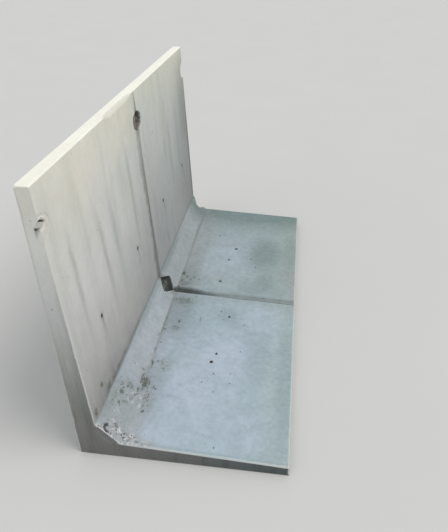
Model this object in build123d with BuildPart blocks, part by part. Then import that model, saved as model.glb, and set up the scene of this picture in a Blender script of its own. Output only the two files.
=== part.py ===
"""Precast L-shaped retaining wall: two equal concrete units end to end, bolted together in their pockets.

Frame, in millimetres: X runs from the stem's outer face (-X) to the heel's free end (+X), Y runs along the
wall with the near unit at -Y, Z is up. The origin is at the middle of the wall's footprint, at the base.
"""
from build123d import *
import os

os.makedirs("parts", exist_ok=True)

# Cast unit
unit_length = 2000.0
wall_height = 2300.0
base_width = 1650.0
stem_top_thickness = 100.0
stem_root_thickness = 180.0
haunch_top_height = 350.0
haunch_foot_reach = 345.0
heel_root_thickness = 160.0
heel_end_thickness = 95.0
long_arris_chamfer = 10.0
end_arris_chamfer = 6.0

# Joint between the two units
joint_gap = 10.0
board_setback = 18.0

# Connection pockets, half of each in either unit's end
upper_pocket_drop = 268.0
upper_pocket_run = 110.0
upper_pocket_mouth = 180.0
upper_pocket_tip = 100.0
upper_pocket_depth = 45.0
upper_pocket_corner_radius = 22.0
lower_pocket_run = 136.0
lower_pocket_mouth = 204.0
lower_pocket_tip = 36.0
lower_pocket_depth = 60.0
lower_pocket_corner_radius = 14.0
pocket_draft = 12.0

# Cast-in sockets of hexagonal bar with a threaded bore
socket_bore = 16.4
socket_wall = 4.0
socket_length = 48.0
socket_floor = 6.0
socket_clearance = 0.15
connection_socket_setback = 50.0
lifting_socket_height = 1000.0
lifting_socket_offset = 500.0
heel_socket_reach = 900.0

# Connection plates, bolts and washers
plate_overhang = 30.0
plate_width = 50.0
plate_thickness = 9.0
plate_slot_width = 18.0
plate_slot_length = 28.0
bolt_diameter = 16.0
bolt_head_width = 24.0
bolt_head_height = 10.0
bolt_engagement = 20.0
washer_width = 36.0
washer_bore = 17.5
washer_thickness = 4.0

# Mortar left in three of the pockets
upper_mortar_cover = 16.0
end_mortar_recess = 3.0
stem_mortar_hole_width = 70.0
stem_mortar_hole_reach = 70.0
stem_mortar_hole_offset = 12.0
haunch_mortar_hole_width = 56.0
haunch_mortar_hole_reach = 92.0
haunch_mortar_hole_offset = 15.0

# Broken arris of the far unit's heel at the joint, as (distance past the haunch, width, depth)
spall_stations = ((4.0, 76.0, 34.0), (150.0, 70.0, 28.0), (280.0, 34.0, 15.0), (620.0, 8.0, 5.0))
spall_clearance = 20.0

# Places that follow from the sizes above
outer_x = -base_width / 2
heel_end_x = base_width / 2
haunch_foot_x = outer_x + haunch_foot_reach
near_end_y = -joint_gap / 2 - unit_length
far_end_y = joint_gap / 2 + unit_length
near_joint_y = -joint_gap / 2
far_joint_y = joint_gap / 2
stem_batter = stem_root_thickness - stem_top_thickness
stem_rise = wall_height - haunch_top_height
haunch_rise = haunch_top_height - heel_root_thickness
haunch_run = haunch_foot_reach - stem_root_thickness
heel_fall = heel_root_thickness - heel_end_thickness
heel_run = base_width - haunch_foot_reach
socket_width = socket_bore + 2 * socket_wall
upper_pocket_height = wall_height - upper_pocket_drop
upper_pocket_shape = (upper_pocket_run, upper_pocket_mouth, upper_pocket_tip, upper_pocket_corner_radius)
lower_pocket_shape = (lower_pocket_run, lower_pocket_mouth, lower_pocket_tip, lower_pocket_corner_radius)


def stem_inner_x(height):
    """Where the stem's battered inner face stands at a height."""
    return outer_x + stem_top_thickness + stem_batter * (wall_height - height) / stem_rise


def stem_face(height, y, along):
    """Plane on the stem's inner face, its X running along the wall and its Z out of the concrete."""
    return Plane(
        origin=(stem_inner_x(height), y, height),
        x_dir=(0, along, 0),
        z_dir=(stem_rise, 0, stem_batter),
    )


def haunch_face(y, along):
    """Plane on the middle of the haunch, its X running along the wall and its Z out of the concrete."""
    middle_x = haunch_foot_x - haunch_run / 2
    middle_z = heel_root_thickness + haunch_rise / 2
    return Plane(origin=(middle_x, y, middle_z), x_dir=(0, along, 0), z_dir=(haunch_rise, 0, haunch_run))


def heel_top_z(reach):
    """How high the heel's sloping top is, at a reach from the stem's outer face."""
    return heel_root_thickness - heel_fall * (reach - haunch_foot_reach) / heel_run


def heel_face(reach, y):
    """Plane on the heel's sloping top, at a reach from the stem's outer face."""
    origin = (outer_x + reach, y, heel_top_z(reach))
    return Plane(origin=origin, x_dir=(0, 1, 0), z_dir=(heel_fall, 0, heel_run))


def shifted(plane, distance):
    """The same plane with its origin moved a distance along its own X."""
    return Plane(origin=plane.origin + plane.x_dir * distance, x_dir=plane.x_dir, z_dir=plane.z_dir)


def pockets_of(start_y, end_y):
    """The four half pockets of a unit, by place, as (face it is in, shape, depth)."""
    return {
        "near_upper": (stem_face(upper_pocket_height, start_y, 1), upper_pocket_shape, upper_pocket_depth),
        "far_upper": (stem_face(upper_pocket_height, end_y, -1), upper_pocket_shape, upper_pocket_depth),
        "near_lower": (haunch_face(start_y, 1), lower_pocket_shape, lower_pocket_depth),
        "far_lower": (haunch_face(end_y, -1), lower_pocket_shape, lower_pocket_depth),
    }


def lifting_points_of(start_y, end_y):
    """The faces that a unit's three lifting sockets are set in."""
    middle_y = (start_y + end_y) / 2
    return {
        "near_stem_lifting": stem_face(lifting_socket_height, middle_y - lifting_socket_offset, 1),
        "far_stem_lifting": stem_face(lifting_socket_height, middle_y + lifting_socket_offset, 1),
        "heel_lifting": heel_face(heel_socket_reach, middle_y),
    }


def pocket_mouth(face, shape, overrun):
    """Outline of a half pocket on its face: widest an overrun past the unit's end, narrowing to a tip."""
    run, mouth, tip, corner_radius = shape
    flare = (mouth - tip) / 2 * overrun / run
    with BuildSketch(face) as sketch:
        with BuildLine():
            Polyline(
                (-overrun, mouth / 2 + flare),
                (run, tip / 2),
                (run, -tip / 2),
                (-overrun, -mouth / 2 - flare),
                close=True,
            )
        outline = make_face()
        fillet(outline.vertices().group_by(Axis.X)[-1], corner_radius)
    return sketch.sketch


def cast_unit(start_y, end_y):
    """One casting: the L section run along the wall, with its pockets and the holes its sockets fill."""
    with BuildPart() as unit:
        with BuildSketch(Plane.XZ.offset(-start_y)):
            with BuildLine():
                Polyline(
                    (outer_x, 0),
                    (outer_x, wall_height),
                    (outer_x + stem_top_thickness, wall_height),
                    (outer_x + stem_root_thickness, haunch_top_height),
                    (haunch_foot_x, heel_root_thickness),
                    (heel_end_x, heel_end_thickness),
                    (heel_end_x, 0),
                    close=True,
                )
            section = make_face()
            top_corners = section.vertices().group_by(Axis.Y)[-1]
            heel_corner = section.vertices().group_by(Axis.X)[-1].sort_by(Axis.Y)[-1]
            chamfer([*top_corners, heel_corner], long_arris_chamfer)
        extrude(amount=start_y - end_y)
        end_edges = unit.faces().filter_by(Axis.Y).edges()
        chamfer(end_edges.filter_by(lambda edge: edge.center().Z > 1), end_arris_chamfer)

        for face, shape, depth in pockets_of(start_y, end_y).values():
            mouth_sketch = pocket_mouth(face, shape, depth)
            extrude(mouth_sketch, -depth, taper=pocket_draft, mode=Mode.SUBTRACT)
            with BuildSketch(face.offset(-depth)):
                with Locations((connection_socket_setback, 0)):
                    RegularPolygon(socket_width / 2 + socket_clearance, 6, major_radius=False)
            extrude(amount=-socket_length, mode=Mode.SUBTRACT)

        for face in lifting_points_of(start_y, end_y).values():
            with BuildSketch(face):
                RegularPolygon(socket_width / 2 + socket_clearance, 6, major_radius=False)
            extrude(amount=-socket_length, mode=Mode.SUBTRACT)
    return unit.part


def broken_arris(joint_y):
    """What has broken off a heel's top arris at the joint: triangles, largest beside the haunch, lofted."""
    with BuildPart() as broken:
        for distance, width, depth in spall_stations:
            slope = depth / width
            top_z = heel_top_z(haunch_foot_reach + distance)
            with BuildSketch(Plane.YZ.offset(haunch_foot_x + distance)):
                with BuildLine():
                    Polyline(
                        (joint_y - spall_clearance, top_z - depth - slope * spall_clearance),
                        (joint_y + width + spall_clearance, top_z + slope * spall_clearance),
                        (joint_y - spall_clearance, top_z + slope * spall_clearance),
                        close=True,
                    )
                make_face()
        loft(ruled=True)
    return broken.part


def cast_in_socket(mouth_plane):
    """A steel socket, its threaded bore open at the concrete's face and closed at the bottom."""
    with BuildPart() as socket:
        with BuildSketch(mouth_plane):
            RegularPolygon(socket_width / 2, 6, major_radius=False)
        extrude(amount=-socket_length)
        with BuildSketch(mouth_plane):
            Circle(socket_bore / 2)
        extrude(amount=-(socket_length - socket_floor), mode=Mode.SUBTRACT)
    return socket.part


def connection_plate(middle_plane):
    """A flat steel plate with two slots, bridging the joint on the floors of two half pockets."""
    bolt_spacing = 2 * connection_socket_setback + joint_gap
    with BuildPart() as plate:
        with BuildSketch(middle_plane):
            RectangleRounded(bolt_spacing + 2 * plate_overhang, plate_width, plate_width / 4)
            with GridLocations(bolt_spacing, 0, 2, 1):
                SlotOverall(plate_slot_length, plate_slot_width, mode=Mode.SUBTRACT)
        extrude(amount=plate_thickness)
    return plate.part


def square_washer(seat):
    """A square washer covering a connection plate's slot."""
    with BuildPart() as washer:
        with BuildSketch(seat):
            Rectangle(washer_width, washer_width)
            Circle(washer_bore / 2, mode=Mode.SUBTRACT)
        extrude(amount=washer_thickness)
    return washer.part


def hexagon_bolt(seat):
    """A hexagon-headed bolt whose head sits on its washer and whose shank reaches into the socket."""
    shank_length = washer_thickness + plate_thickness + bolt_engagement
    with BuildPart() as bolt:
        with BuildSketch(seat):
            RegularPolygon(bolt_head_width / 2, 6, major_radius=False)
        extrude(amount=bolt_head_height)
        head_top = bolt.faces().sort_by(lambda face: (face.center() - seat.origin).dot(seat.z_dir))[-1]
        chamfer(head_top.edges(), bolt_head_height / 8)
        with BuildSketch(seat):
            Circle(bolt_diameter / 2)
        extrude(amount=-shank_length)
    return bolt.part


def end_mortar(face, shape, depth, hole_width, hole_reach, hole_offset):
    """Mortar in a half pocket at the near end, with the hole that is left over the socket."""
    with BuildPart() as mortar:
        mouth_sketch = pocket_mouth(face, shape, depth)
        extrude(mouth_sketch, -depth, taper=pocket_draft)
        split(bisect_by=face.offset(-end_mortar_recess), keep=Keep.BOTTOM)
        split(bisect_by=Plane.XZ.offset(-near_end_y), keep=Keep.BOTTOM)
        with BuildSketch(face):
            with Locations((0, hole_offset)):
                SlotOverall(2 * hole_reach, hole_width)
        extrude(amount=-depth, mode=Mode.SUBTRACT)
    return mortar.part


def save(part, label):
    """Label a finished piece and write it under its own name."""
    part.label = label
    export_step(part, f"parts/{label}.step")


# Castings
units = {
    "near_unit": (near_end_y, near_joint_y),
    "far_unit": (far_joint_y, far_end_y),
}
castings = {unit_name: cast_unit(*ends) for unit_name, ends in units.items()}
with BuildPart() as far_casting:
    add(castings["far_unit"])
    add(broken_arris(far_joint_y), mode=Mode.SUBTRACT)
castings["far_unit"] = far_casting.part
for unit_name, casting in castings.items():
    save(casting, unit_name)

# Sockets cast into the pocket floors, the stems and the heels
for unit_name, (start_y, end_y) in units.items():
    for place, (face, shape, depth) in pockets_of(start_y, end_y).items():
        mouth_plane = shifted(face.offset(-depth), connection_socket_setback)
        save(cast_in_socket(mouth_plane), f"{unit_name}_{place}_socket")
    for place, face in lifting_points_of(start_y, end_y).items():
        save(cast_in_socket(face), f"{unit_name}_{place}_socket")

# Joint board between the two stems, cut away where the connection pockets cross it
with BuildPart() as joint_board:
    board_foot_x = outer_x + stem_root_thickness
    with BuildSketch(Plane.XZ.offset(-near_joint_y)):
        with BuildLine():
            Polyline(
                (outer_x + board_setback, 0),
                (outer_x + board_setback, wall_height - board_setback),
                (stem_inner_x(wall_height) - board_setback, wall_height - board_setback),
                (stem_inner_x(haunch_top_height) - board_setback, haunch_top_height),
                (board_foot_x, haunch_top_height - haunch_rise / 2),
                (board_foot_x, 0),
                close=True,
            )
        make_face()
    extrude(amount=-joint_gap)
    upper_middle = stem_face(upper_pocket_height, 0, 1).offset(-upper_pocket_depth)
    lower_middle = haunch_face(0, 1).offset(-lower_pocket_depth)
    for floor_plane, mouth in ((upper_middle, upper_pocket_mouth), (lower_middle, lower_pocket_mouth)):
        with BuildSketch(floor_plane):
            Rectangle(2 * joint_gap, mouth)
        extrude(amount=stem_root_thickness, mode=Mode.SUBTRACT)
save(joint_board.part, "stem_joint_board")

# Connection plates with a washer and a bolt at each end, in the pockets at the joint
hardware = {}
for level, floor_plane in (("upper", upper_middle), ("lower", lower_middle)):
    hardware[f"{level}_connection_plate"] = connection_plate(floor_plane)
    for side, along in (("near", -1), ("far", 1)):
        bolt_reach = along * (connection_socket_setback + joint_gap / 2)
        washer_seat = shifted(floor_plane.offset(plate_thickness), bolt_reach)
        bolt_seat = washer_seat.offset(washer_thickness)
        hardware[f"{level}_{side}_washer"] = square_washer(washer_seat)
        hardware[f"{level}_{side}_bolt"] = hexagon_bolt(bolt_seat)
for label, piece in hardware.items():
    save(piece, label)

# Mortar over the near end of the upper plate
upper_face = stem_face(upper_pocket_height, near_joint_y, -1)
with BuildPart() as upper_mortar:
    mouth_sketch = pocket_mouth(upper_face, upper_pocket_shape, upper_pocket_depth)
    extrude(mouth_sketch, -upper_pocket_depth, taper=pocket_draft)
    split(bisect_by=upper_face.offset(-upper_mortar_cover), keep=Keep.BOTTOM)
    split(bisect_by=Plane.XZ.offset(-near_joint_y), keep=Keep.TOP)
    for label in ("upper_connection_plate", "upper_near_washer", "upper_near_bolt"):
        add(hardware[label], mode=Mode.SUBTRACT)
    with BuildSketch(shifted(upper_face.offset(-upper_pocket_depth), connection_socket_setback)):
        SlotOverall(plate_slot_length, plate_slot_width)
    extrude(amount=plate_thickness + washer_thickness, mode=Mode.SUBTRACT)
save(upper_mortar.part, "upper_pocket_mortar")

# Mortar in the two pockets at the near end
near_pockets = pockets_of(near_end_y, near_joint_y)
stem_hole = (stem_mortar_hole_width, stem_mortar_hole_reach, stem_mortar_hole_offset)
haunch_hole = (haunch_mortar_hole_width, haunch_mortar_hole_reach, haunch_mortar_hole_offset)
save(end_mortar(*near_pockets["near_upper"], *stem_hole), "near_stem_mortar")
save(end_mortar(*near_pockets["near_lower"], *haunch_hole), "near_haunch_mortar")
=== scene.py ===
"""Looks of a precast L-shaped retaining wall: two weathered concrete units bolted end to end in their pockets.

Metres, X from the stem's outer face to the heel's free end, Y along the wall from the near unit, Z up.
"""
import math
import bpy
import numpy as np
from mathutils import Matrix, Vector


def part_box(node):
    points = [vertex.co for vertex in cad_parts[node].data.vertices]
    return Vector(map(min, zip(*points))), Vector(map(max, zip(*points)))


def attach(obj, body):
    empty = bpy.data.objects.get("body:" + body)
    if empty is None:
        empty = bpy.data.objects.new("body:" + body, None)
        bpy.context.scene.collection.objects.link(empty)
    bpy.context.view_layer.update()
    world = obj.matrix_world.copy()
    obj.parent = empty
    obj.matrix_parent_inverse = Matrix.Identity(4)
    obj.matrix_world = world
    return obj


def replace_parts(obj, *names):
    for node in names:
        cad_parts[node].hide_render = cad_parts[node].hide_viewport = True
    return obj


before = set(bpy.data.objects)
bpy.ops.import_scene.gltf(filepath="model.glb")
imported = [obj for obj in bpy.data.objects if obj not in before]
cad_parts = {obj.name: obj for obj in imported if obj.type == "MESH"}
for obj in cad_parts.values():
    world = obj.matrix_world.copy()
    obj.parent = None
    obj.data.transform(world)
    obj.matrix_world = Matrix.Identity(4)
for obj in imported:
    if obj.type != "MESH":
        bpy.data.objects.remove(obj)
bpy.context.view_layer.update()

# Outline of the castings: two equal units of grey reinforced concrete, each poured in one go in a steel form. The
# same L section runs the whole length of a unit, with a small chamfer on its long arrises.
near_low, near_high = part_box("near_unit")
far_low, far_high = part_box("far_unit")
outer_x, heel_end_x, wall_height = near_low.x, near_high.x, near_high.z
stem_top, stem_root = 0.1, 0.18
haunch_top, haunch_reach = 0.35, 0.345
heel_root, heel_end = 0.16, 0.095
long_arris, end_arris = 0.01, 0.006
OUTER, OUTER_CHAMFER, TOP, INNER_CHAMFER, INNER, HAUNCH, HEEL, HEEL_CHAMFER, HEEL_END, BASE = range(10)
inner_top, inner_root, haunch_foot, heel_tip = np.array([
    (outer_x + stem_top, wall_height), (outer_x + stem_root, haunch_top),
    (outer_x + haunch_reach, heel_root), (heel_end_x, heel_end),
])
down_stem = (inner_root - inner_top) / math.dist(inner_root, inner_top)
along_heel = (heel_tip - haunch_foot) / math.dist(heel_tip, haunch_foot)
# The section's corners as (x, z), clockwise from the outer foot, with its chamfers
corners = np.array([
    (outer_x, 0), (outer_x, wall_height - long_arris), (outer_x + long_arris, wall_height),
    inner_top - (long_arris, 0), inner_top + long_arris * down_stem, inner_root, haunch_foot,
    heel_tip - long_arris * along_heel, heel_tip - (0, long_arris), (heel_end_x, 0),
])
face_vectors = np.roll(corners, -1, axis=0) - corners
face_lengths = np.linalg.norm(face_vectors, axis=1)
face_ways = face_vectors / face_lengths[:, None]


def spaced(length, coarse, close_places):
    """Distances from 0 to length: the step is coarse, or finer near each (place, reach, step) and growing away from
    it, and the stations are laid by adding up one over the step."""
    growth, samples = 0.25, 6000
    trail = np.linspace(0, length, samples)
    step = np.full_like(trail, coarse)
    for place, reach, fine in close_places:
        step = np.minimum(step, fine + growth * np.maximum(np.abs(trail - place) - reach, 0))
    total = np.concatenate([[0], np.cumsum((1 / step[1:] + 1 / step[:-1]) / 2 * np.diff(trail))])
    count = max(1, int(np.ceil(total[-1])))
    return np.interp(np.linspace(0, total[-1], count + 1), total, trail)


def smooth_mesh(name, vertices, polygons, written_values):
    """A smooth mesh from points and polygons, with a number for each vertex under each name."""
    mesh = bpy.data.meshes.new(name)
    mesh.from_pydata(vertices.tolist(), [], polygons)
    mesh.polygons.foreach_set("use_smooth", np.ones(len(mesh.polygons), dtype=bool))
    for label, values in written_values.items():
        mesh.attributes.new(label, "FLOAT", "POINT").data.foreach_set("value", values.astype(np.float32))
    return mesh


def closed_mesh(name, rows, rims, capped_values):
    """A mesh from closed loops of points, one for each row, with a flat cap at either end. Each cap has a rim just
    inside its loop, so that values change at the arris and not across the whole cap."""
    sharp_angle = math.radians(38)
    loops, around = rows.shape[:2]
    index = np.arange((loops + 2) * around).reshape(-1, around)
    following = np.roll(index, -1, axis=1)
    quads = np.stack([index[:-1], following[:-1], following[1:], index[1:]], axis=-1).reshape(-1, 4)
    polygons = [*quads.tolist(), index[0, ::-1].tolist(), index[-1].tolist()]
    full_values = {label: np.concatenate([caps[0], np.broadcast_to(values, (loops, around)).reshape(-1), caps[1]])
                   for label, (values, caps) in capped_values.items()}
    mesh = smooth_mesh(name, np.concatenate([rims[0], rows.reshape(-1, 3), rims[1]]), polygons, full_values)
    mesh.set_sharp_from_angle(angle=sharp_angle)
    return mesh


# Pockets and sockets: boxes in the form leave a half pocket at each end of the stem and of the haunch, with drafted
# sides. A hexagonal steel socket is cast into each pocket's floor, into the stem at two places and into the heel.
upper_pocket_z = wall_height - 0.268
upper_pocket = {"face": INNER, "centre": (corners[INNER, 1] - upper_pocket_z) / -face_ways[INNER, 1],
                "run": 0.11, "mouth": 0.18, "tip": 0.1, "depth": 0.045, "rounding": 0.036}
lower_pocket = {"face": HAUNCH, "centre": face_lengths[HAUNCH] / 2,
                "run": 0.136, "mouth": 0.204, "tip": 0.036, "depth": 0.06, "rounding": 0.023}
pocket_draft = math.radians(12)
socket_setback, socket_ring, socket_sink, ring_edge = 0.05, 0.018, 0.007, 0.003
lifting_z, lifting_offset, heel_lifting_reach = 1.0, 0.5, 0.9
lifting_down_stem = (corners[INNER, 1] - lifting_z) / -face_ways[INNER, 1]
lifting_down_heel = (outer_x + heel_lifting_reach - corners[HEEL, 0]) / face_ways[HEEL, 0]


def section_stations(close_heel):
    """Stations round the section: each one's face, its distance down it, its point and its way outwards, square to
    the face, or away from a core 40 mm in near the top and the heel's end."""
    close = {
        OUTER: (0.05, [(face_lengths[OUTER], 0, 0.005)]),
        OUTER_CHAMFER: (0.005, []), TOP: (0.006, []), INNER_CHAMFER: (0.004, []),
        INNER: (0.024, [(0, 0.01, 0.004), (upper_pocket["centre"], 0.09, 0.0042),
                        (lifting_down_stem, 0.022, 0.004), (face_lengths[INNER], 0, 0.007)]),
        HAUNCH: (0.0042, []),
        HEEL: (0.022, [(0, 0.01, 0.0045), (lifting_down_heel, 0.022, 0.004), (face_lengths[HEEL], 0, 0.005),
                       *close_heel]),
        HEEL_CHAMFER: (0.005, []), HEEL_END: (0.017, []), BASE: (0.11, []),
    }
    stations = {face: spaced(face_lengths[face], *steps)[:-1] for face, steps in close.items()}
    face = np.concatenate([np.full(len(down), face) for face, down in stations.items()])
    down = np.concatenate(list(stations.values()))
    way = face_ways[face]
    point = corners[face] + down[:, None] * way
    reach = 0.04
    core = point + reach * np.stack([way[:, 1], -way[:, 0]], axis=1)
    at_top, at_tip = point[:, 1] > wall_height - reach, point[:, 0] > heel_end_x - reach
    core[at_top, 0] = np.clip(point[at_top, 0], outer_x + reach, outer_x + stem_top - reach)
    core[at_top, 1] = wall_height - reach
    core[at_tip, 0] = heel_end_x - reach
    core[at_tip, 1] = np.clip(point[at_tip, 1], reach, heel_end - reach)
    core[face == BASE] = point[face == BASE] + (0, reach)
    outward = point - core
    return face, down, point, outward / np.linalg.norm(outward, axis=1, keepdims=True)


def held(values):
    """The values, held from 0 to 1."""
    return np.clip(values, 0, 1)


def inside_pocket(along, across, shape):
    """How far a place lies inside a half pocket: the lesser of the distances from its slanting side and its tip,
    rounded where the two meet. Along is measured from the unit's end, across from the centre line."""
    slant = (shape["mouth"] - shape["tip"]) / 2 / shape["run"]
    from_side = (shape["mouth"] / 2 - slant * along - np.abs(across)) / math.hypot(1, slant)
    from_tip = shape["run"] - along + 0 * across
    share = held(0.5 + 0.5 * (from_tip - from_side) / shape["rounding"])
    return from_tip * (1 - share) + from_side * share - shape["rounding"] * share * (1 - share)


def sunk(inside, depth):
    """Depth of a pocket with drafted sides, rising from its outline to the full depth."""
    return depth * held(inside / (depth * math.tan(pocket_draft)))


def ringed(across, along):
    """1 within the ring that a socket leaves sunk in the concrete, and 0 outside."""
    return held((socket_ring - np.hypot(across, along)) / ring_edge)


def uneven(across, along, cell, seed):
    """Smooth unevenness from 0 to 1: random heights at the corners of square cells, joined by t*t*(3-2t)."""
    cells = 128
    heights = np.random.default_rng(seed).random((cells, cells))
    across, along = np.broadcast_arrays(np.asarray(across) / cell, np.asarray(along) / cell)
    row, column = np.floor(across).astype(int), np.floor(along).astype(int)
    down, right = across - row, along - column
    down, right = down * down * (3 - 2 * down), right * right * (3 - 2 * right)
    upper, lower = (heights[edge % cells, column % cells] * (1 - right)
                    + heights[edge % cells, (column + 1) % cells] * right for edge in (row, row + 1))
    return upper * (1 - down) + lower * down


def broken(across, along, cell, seed):
    """Crumbly unevenness from 0 to 1: three layers of uneven, each half the size and half the strength."""
    layers = [uneven(across, along, cell / 2 ** k, seed + k) / 2 ** k for k in range(3)]
    return sum(layers) / 1.75


def recesses(face, down, y, ends, lifting_y):
    """Depths of a unit's pockets, how near the rim of an unfilled one is, and the rings round the lifting sockets."""
    ragged, rough, rim_reach = 0.01, 0.002, 0.008
    pocket = rim = ring = 0 * face * y
    for shape in (upper_pocket, lower_pocket):
        from_centre, on_it = down - shape["centre"], face == shape["face"]
        for end in ends:
            from_end, stands_open = np.abs(y - end), end > near_low.y
            inside = inside_pocket(from_end, from_centre, shape)
            inside = inside + ragged * (broken(down, y, 0.018, 121) - 0.5) * stands_open
            here = sunk(inside, shape["depth"]) + rough * broken(down, y, 0.012, 120) * (inside > 0)
            here = here + socket_sink * ringed(from_end - socket_setback, from_centre)
            pocket = np.maximum(pocket, here * on_it)
            edge = np.exp(-(np.minimum(inside, 0) / rim_reach) ** 2) * (inside < 0.002) * stands_open
            rim = np.maximum(rim, edge * on_it)
    on_stem = [(INNER, lifting_down_stem, at_y) for at_y in lifting_y]
    for on_face, centre, at_y in (*on_stem, (HEEL, lifting_down_heel, sum(lifting_y) / 2)):
        ring = np.maximum(ring, ringed(y - at_y, down - centre) * (face == on_face))
    return pocket, rim, ring


# Damage: the arrises have lost chips in handling, the near unit's top arris is worn beside the joint, and the far
# unit's heel has broken away along the joint, most of all beside the haunch.


def bites(across, along, cell, share, seed):
    """Scattered bites from 0 to 1, where the broken unevenness is highest."""
    return held((broken(across, along, cell, seed) - (1 - share)) / share)


def chipped(face, y, around, from_end_face, seed):
    """How deep the arrises are cut, by an even edge and scattered bites, and how far the nearest long arris is."""
    rough, end_bite, chip_slope = 0.0015, 0.008, 0.6
    side = (from_end_face[:, :1] == y - y.min()) * 9.0
    bite = end_arris + rough * broken(around, side, 0.014, seed + 1)
    bite = bite + end_bite * bites(around, side, 0.05, 0.24, seed)
    cut = np.clip(bite - from_end_face, 0, None)
    from_arris = np.full(cut.shape, 1.0)
    for arris, share, size in (OUTER_CHAMFER, 0.35, 0.009), (INNER_CHAMFER, 0.3, 0.008), (HEEL_CHAMFER, 0.4, 0.009):
        distance = np.abs(around - around[face == arris].mean())
        from_arris = np.minimum(from_arris, distance)
        chips = rough + size * bites(around * 0.5, y, 0.06, share, seed + 10 + arris)
        cut = np.maximum(cut, chips - chip_slope * distance)
    return cut, from_arris


def near_breaks(face, down, y, around):
    """What broke off the near unit: a thin lip on its heel at the joint, as far as 0.6 m down it, and the stem's
    inner top arris, over a stretch of 0.4 m either way from its middle."""
    stretch_middle, stretch_reach, slope = -0.42, 0.4, 0.75
    lip = 0.0005 + 0.0025 * broken(down, y, 0.03, 71)
    heel_lip = np.where((face == HEEL) & (down < 0.6), np.clip(lip - 0.7 * (near_high.y - y), 0, None), 0)
    middle = around[face == INNER_CHAMFER].mean()
    stretch = held(1 - np.abs((y - stretch_middle) / stretch_reach) ** 4)
    reach = (0.012 + 0.024 * broken(around * 0.3, y, 0.16, 72)) * stretch
    return heel_lip, np.clip(reach - slope * np.abs(around - middle), 0, None)


def far_breaks(face, down, y, around):
    """What broke off the far unit: the heel's top arris at the joint, which sinks from its ragged width to its depth
    at the joint by the power 0.7, with crumbly lumps. Nothing is off the stem's top."""
    starts = -0.03
    beyond = np.where(face == HEEL, down, down - face_lengths[HAUNCH])
    ragged = 0.8 + 0.4 * broken(beyond, y * 0, 0.028, 73)
    turns = (starts, 0.004, 0.15, 0.3, 0.43, 0.52, 0.62, 1.3)
    width = np.interp(beyond, turns, (0.0, 0.11, 0.09, 0.07, 0.056, 0.04, 0.023, 0.007)) * ragged
    depth = np.interp(beyond, turns, (0.0, 0.034, 0.03, 0.022, 0.015, 0.008, 0.005, 0.003))
    slope = held(1 - (y - far_low.y) / np.maximum(width, 1e-4)) ** 0.7
    lump = 0.006 * broken(beyond, y, 0.014, 74) * (slope > 0)
    here = np.isin(face, (HEEL, HAUNCH)) & (beyond > starts)
    return np.where(here, depth * slope + lump, 0), np.zeros(slope.shape)


# Weather: rain and ground water have left their marks while the wall stood open. Soil lies in the corner, damp
# follows the joints, lime has bloomed on the heel, and crumbled mortar covers the near haunch. At the far end,
# painted shade is laid with the damp.


def spot(across, along, centre, size):
    """A soft round patch, 1 at its centre and fading as a bell over its size in either direction."""
    return np.exp(-((across - centre[0]) / size[0]) ** 2 - ((along - centre[1]) / size[1]) ** 2)


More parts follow.
